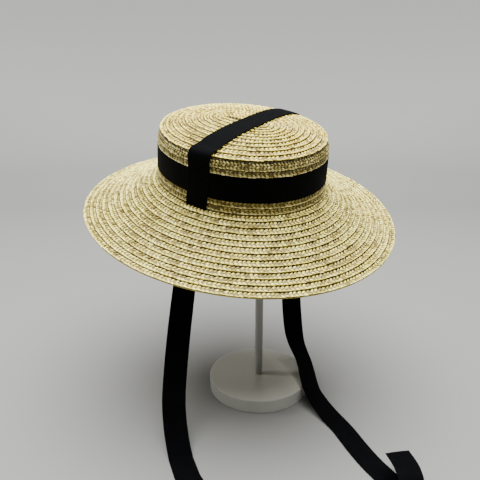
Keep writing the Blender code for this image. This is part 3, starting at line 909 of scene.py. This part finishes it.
steps = np.hypot(np.diff(side * across), np.diff(up))
run = np.concatenate([[0.0], np.cumsum(steps)])
share = np.clip((run - STRAP_TAIL) / (run[-1] - 2 * STRAP_TAIL), 0, 1)
y = (STRAP_LEFT_Y + (STRAP_RIGHT_Y - STRAP_LEFT_Y) * share)[:, None] + ACROSS * RIBBON_WIDTH / 2
out, rise = (np.cos(angle) * clear)[:, None], (np.sin(angle) * clear)[:, None]
x = side[:, None] * wall_across(across[:, None], along[:, None], y, out)
middles = np.stack([x, y, up[:, None] + rise + 0 * y], -1)
away = np.stack([side * np.cos(angle), 0 * angle, np.sin(angle)], -1)
normals = np.repeat(away[:, None], len(ACROSS), axis=1)
near = bulge * (side < 0)
middles, normals = eased(middles, near), eased(normals, near)
normals /= np.linalg.norm(normals, axis=-1, keepdims=True)
strap = ribbon_piece(
    "strap_tape", "strap_ribbon", seated(middles), normals @ SEAT_TURN.T, RIBBON_WIDTH,
)
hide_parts("crown_strap")

# %% [markdown]
# ## The ties
#
# Below the brim the strap's ends hang free as two ties. A hanging ribbon is not a straight
# line: it leaves the hat in the direction of the strap, turns slowly and lands in a slack
# curve. A cloth simulation could find such a curve, but not the very one in the photo. So
# each tie has a short table of places, read off, and a smooth curve through them.
# The first part of a table is given as shares of the way down, so it follows the hat.

# %% Tables of the ties
BASE_RADIUS = 0.0625
CURL_HEIGHT = 0.0232
TIE_FLOOR = 0.0008
RIGHT_TIE_HANG = (
    # along, aside, height, face, tilt
    (0.00, 0.00, 1.000, 90, 9),
    (0.11, -0.07, 0.880, 94, 7),
    (0.20, -0.14, 0.694, 104, 4),
    (0.32, -0.21, 0.470, 114, 2),
    (0.45, -0.24, 0.290, 121, 0),
    (0.56, -0.23, 0.200, 126, 0),
    (0.67, -0.19, 0.122, 131, 0),
    (0.82, -0.11, 0.052, 136, 0),
)
LEFT_TIE_HANG = (
    # along, aside, height, face, tilt
    (0.00, 0.00, 1.000, 78, 9),
    (-0.05, 0.03, 0.860, 82, 8),
    (-0.05, 0.05, 0.640, 94, 7),
    (0.04, 0.04, 0.348, 108, 7),
    (0.12, 0.03, 0.208, 122, 9),
    (0.21, 0.02, 0.145, 136, 12),
    (0.36, 0.01, 0.107, 146, 17),
    (0.46, -0.01, 0.089, 150, 18),
    (0.63, -0.05, 0.059, 150, 14),
    (0.75, -0.04, 0.028, 146, 7),
    (0.87, -0.02, 0.008, 142, 2),
)
RIGHT_TIE_LIES = (
    # x, y, rise, face, tilt
    (-2.64, 0.05, 0.00, 140, 0),
    (-2.80, -0.14, 0.00, 141, 0),
    (-2.95, -0.33, 0.00, 144, 0),
    (-3.06, -0.54, 0.00, 150, 0),
    (-3.13, -0.74, 0.00, 157, 0),
)
LEFT_TIE_LIES = (
    # x, y, rise, face, tilt
    (-0.51, -1.99, 0.00, 139, 0),
    (-0.87, -2.40, 0.00, 138, 0),
    (-1.12, -2.71, 0.00, 141, 0),
    (-1.33, -3.03, 0.00, 146, 0),
    (-1.47, -3.26, 0.02, 148, 0),
    (-1.58, -3.44, 0.22, 146, 0),
    (-1.60, -3.49, 0.52, 142, 0),
    (-1.54, -3.44, 0.84, 136, 0),
    (-1.35, -3.31, 1.00, 128, 0),
    (-1.11, -3.11, 1.00, 120, 0),
)
RIGHT_PLACES, LEFT_PLACES = RIGHT_TIE_HANG + RIGHT_TIE_LIES, LEFT_TIE_HANG + LEFT_TIE_LIES
print("places in the tables:", len(RIGHT_PLACES), len(LEFT_PLACES))

# %% [markdown]
# The curve is a Catmull-Rom spline: it passes through every place, and its direction there
# follows the two neighbours. The ribbon's width turns with the table's face and tilt, made
# square to the path. Across its width it is bowed a little where it hangs, and the bow
# fades out just above the floor.

# %% Hang the ties
TIE_STEPS = 10
BOW, BOW_FROM, BOW_OVER = 0.0007, 0.004, 0.03


def smooth_rows(rows):
    rows = np.array(rows, float)
    padded = np.vstack([rows[:1], rows, rows[-1:]])
    t = np.arange(TIE_STEPS)[:, None] / TIE_STEPS
    made = []
    for p, q, r, s in zip(padded, padded[1:], padded[2:], padded[3:]):
        bend = (2 * p - 5 * q + 4 * r - s) * t**2 + (3 * q - p - 3 * r + s) * t**3
        made.append(0.5 * (2 * q + (r - p) * t + bend))
    return np.vstack(made + [rows[-1:]])


def tie_piece(name, side, y, hang, lies):
    foot = crown_sizes(0.0)
    x = float(wall_across(foot[0], foot[1], y, 0.0))
    heading = math.atan2(y / float(foot[1]) ** 2, x / float(foot[0]) ** 2)
    level_out = np.array([side * math.cos(heading), math.sin(heading), 0.0])
    tail = np.array([side * x, y, 0.0]) + level_out * ON_STRAW
    start = seated(tail - (0, 0, STRAP_TAIL))
    below = seated(tail - (0, 0, STRAP_TAIL * 1.5))
    landing = np.array(lies[0][:2]) * BASE_RADIUS
    level = landing - below[:2]
    aside = np.array([-level[1], level[0]])
    table = []
    for along, off, height, face, tilt in hang:
        place = below[:2] + level * along + aside * off
        table.append([*place, TIE_FLOOR + (below[2] - TIE_FLOOR) * height, face, tilt])
    for x, y, rise, face, tilt in lies:
        table.append([x * BASE_RADIUS, y * BASE_RADIUS, TIE_FLOOR + rise * CURL_HEIGHT, face, tilt])
    route = smooth_rows(table)
    centres = np.vstack([start, route[:, :3]])
    centres[:, 2] = np.maximum(centres[:, 2], TIE_FLOOR)
    runs = np.gradient(centres, axis=0)
    runs /= np.linalg.norm(runs, axis=1, keepdims=True)
    face, tilt = np.radians(route[:, 3]), np.radians(route[:, 4])
    widths = np.stack([np.cos(face), np.sin(face), np.tan(tilt)], -1)
    first = SEAT_TURN @ np.array([-level_out[1], level_out[0], 0.0])
    widths = np.vstack([first * np.sign(first @ widths[0]), widths])
    widths -= runs * np.sum(runs * widths, axis=1, keepdims=True)
    widths /= np.linalg.norm(widths, axis=1, keepdims=True)
    normals = np.cross(runs, widths)
    hanging = np.clip((centres[:, 2] - BOW_FROM) / BOW_OVER, 0, 1)
    bow = BOW * hanging[:, None] * (1 - ACROSS**2)
    middles = centres[:, None] + widths[:, None] * (ACROSS * RIBBON_WIDTH / 2)[None, :, None]
    middles = middles + normals[:, None] * bow[..., None]
    normals = np.repeat(normals[:, None], len(ACROSS), axis=1)
    piece = ribbon_piece(
        name + "_tape", "tie_ribbon", middles, normals, RIBBON_WIDTH
    )
    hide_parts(name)


tie_piece("left_tie", 1, STRAP_LEFT_Y, LEFT_TIE_HANG, LEFT_TIE_LIES)
tie_piece("right_tie", -1, STRAP_RIGHT_Y, RIGHT_TIE_HANG, RIGHT_TIE_LIES)

# %% [markdown]
# ## The stand
#
# The stand is a lacquered disc with a thin post and a small head that hides inside the
# crown. Its shapes in the plain model are already right, so it only needs paint: an
# off-white with a satin gloss, slightly uneven, with a few tiny specks of dust. It sits in
# the shade of the brim, so the off-white is painted darker as painted shade, and darker
# still on the post and head.

# %% Stand paint
def stand_paint(name, colour):
    made, nodes, links, shader = new_material(name)
    place = nodes.new("ShaderNodeTexCoord")
    cloud = nodes.new("ShaderNodeTexNoise")
    cloud.inputs["Scale"].default_value = 22.0
    cloud.inputs["Detail"].default_value = 6.0
    links.new(place.outputs["Object"], cloud.inputs["Vector"])
    tone = ramp(nodes, ((0.30, tuple(0.93 * c for c in colour)), (0.72, colour)))
    links.new(cloud.outputs["Fac"], tone.inputs["Fac"])
    grain = nodes.new("ShaderNodeTexNoise")
    grain.inputs["Scale"].default_value = 420.0
    grain.inputs["Detail"].default_value = 2.0
    links.new(place.outputs["Object"], grain.inputs["Vector"])
    speck = ramp(nodes, ((0.735, (1.0, 1.0, 1.0)), (0.76, (0.45, 0.43, 0.38))))
    links.new(grain.outputs["Fac"], speck.inputs["Fac"])
    dusty = mixed(nodes, links, "MULTIPLY", 1.0, tone.outputs["Color"], speck.outputs["Color"])
    links.new(dusty, shader.inputs["Base Color"])
    gloss = nodes.new("ShaderNodeMapRange")
    gloss.inputs["To Min"].default_value = 0.24
    gloss.inputs["To Max"].default_value = 0.42
    links.new(cloud.outputs["Fac"], gloss.inputs["Value"])
    links.new(gloss.outputs["Result"], shader.inputs["Roughness"])
    bump = nodes.new("ShaderNodeBump")
    bump.inputs["Strength"].default_value = 0.12
    bump.inputs["Distance"].default_value = 0.0002
    links.new(grain.outputs["Fac"], bump.inputs["Height"])
    links.new(bump.outputs["Normal"], shader.inputs["Normal"])
    return made


# painted shade: both are seen in the shade of the brim, and these greys were matched there, so the
# off-white is painted darker, the post and head more
BASE_SHADED_PAINT = stand_paint("base_paint_shaded", (0.345, 0.35, 0.318))
POST_SHADED_PAINT = stand_paint("post_paint_shaded", (0.245, 0.25, 0.232))
PAINTED = {"stand_base": BASE_SHADED_PAINT, "stand_post": POST_SHADED_PAINT, "stand_head": POST_SHADED_PAINT}
for name, paint in PAINTED.items():
    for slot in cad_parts[name].material_slots:
        slot.material = paint
print("painted:", BASE_SHADED_PAINT.name, POST_SHADED_PAINT.name)

# %% [markdown]
# ## The backdrop and the light
#
# The hat was photographed on pale cloth that rises behind it. A floor that curves up into
# a wall all the way round, like a wide bowl, does the same for every side and leaves no
# hard horizon. It is a turned shape: a profile with a Screw modifier.

# %% Backdrop
FLOOR_REACH, WALL_BEND, WALL_TOP = 1.7, 0.7, 2.4
profile = bmesh.new()
outline = [(0.0, 0.0), (FLOOR_REACH, 0.0)]
for k in range(1, 13):
    a = math.pi / 2 * k / 12
    outline.append((FLOOR_REACH + WALL_BEND * math.sin(a), WALL_BEND * (1 - math.cos(a))))
outline.append((FLOOR_REACH + WALL_BEND, WALL_TOP))
corners = [profile.verts.new((x, 0, z)) for x, z in outline]
for first, second in zip(corners, corners[1:]):
    profile.edges.new((first, second))
backdrop_mesh = bpy.data.meshes.new("backdrop")
profile.to_mesh(backdrop_mesh)
profile.free()
backdrop = bpy.data.objects.new("backdrop", backdrop_mesh)
bpy.context.scene.collection.objects.link(backdrop)
turned = backdrop.modifiers.new("turned", "SCREW")
turned.steps = turned.render_steps = 96
turned.use_merge_vertices = True
turned.use_smooth_shade = True

made, nodes, links, shader = new_material("backdrop_light_and_shade_paint")
place = nodes.new("ShaderNodeTexCoord")
away = nodes.new("ShaderNodeVectorMath")
away.operation = "DOT_PRODUCT"
away.inputs[1].default_value = (-math.sin(CAMERA_COMPASS), math.cos(CAMERA_COMPASS), 0)
links.new(place.outputs["Object"], away.inputs[0])
reach = nodes.new("ShaderNodeMapRange")
reach.inputs["From Min"].default_value = -FLOOR_REACH - WALL_BEND
reach.inputs["From Max"].default_value = FLOOR_REACH + WALL_BEND
links.new(away.outputs["Value"], reach.inputs["Value"])
CLOTH_GREY = (0.148, 0.150, 0.147)
# Painted light and shade: the cloth is painted lighter towards the far wall, as painted light, and near
# black on the side behind the camera, as painted shade.
cloth = ramp(
    nodes,
    ((0.05, (0.06, 0.06, 0.06)), (0.30, CLOTH_GREY), (0.70, CLOTH_GREY), (0.92, (0.27, 0.273, 0.27))),
)
links.new(reach.outputs["Result"], cloth.inputs["Fac"])
links.new(cloth.outputs["Color"], shader.inputs["Base Color"])
shader.inputs["Roughness"].default_value = 0.8
backdrop_mesh.materials.append(made)
print("backdrop reaches", FLOOR_REACH + WALL_BEND, "m")

# %% [markdown]
# Straw shows its plaits best under one wide soft lamp overhead. A weaker lamp stands far
# off to the left, as a window would, and makes the edges of the rows glint, and the world
# adds a dim even grey. The upright faces stay darker than the level ones, as they do in a
# room that is lit from its ceiling, and on the crown's side and the stand painted shade
# adds to that.

# %% Lamps and world
LAMP_AIM = (0, 0, 0.25)


def soft_lamp(name, place, size, power, colour):
    data = bpy.data.lights.new(name, "AREA")
    data.shape = "DISK"
    data.size = size
    data.energy = power
    data.color = colour
    lamp = bpy.data.objects.new(name, data)
    lamp.location = place
    aim = Vector(LAMP_AIM) - Vector(place)
    lamp.rotation_euler = aim.to_track_quat("-Z", "Y").to_euler()
    bpy.context.scene.collection.objects.link(lamp)


soft_lamp("overhead_lamp", (-0.08, -0.08, 2.1), 2.7, 288, (1.0, 0.99, 0.97))
soft_lamp("window_lamp", (-0.85, 1.90, 1.40), 0.6, 20, (1.0, 0.98, 0.94))
world = bpy.data.worlds.new("soft_world")
world.use_nodes = True
world.node_tree.nodes["Background"].inputs["Color"].default_value = (0.90, 0.91, 0.92, 1.0)
world.node_tree.nodes["Background"].inputs["Strength"].default_value = 0.06
bpy.context.scene.world = world
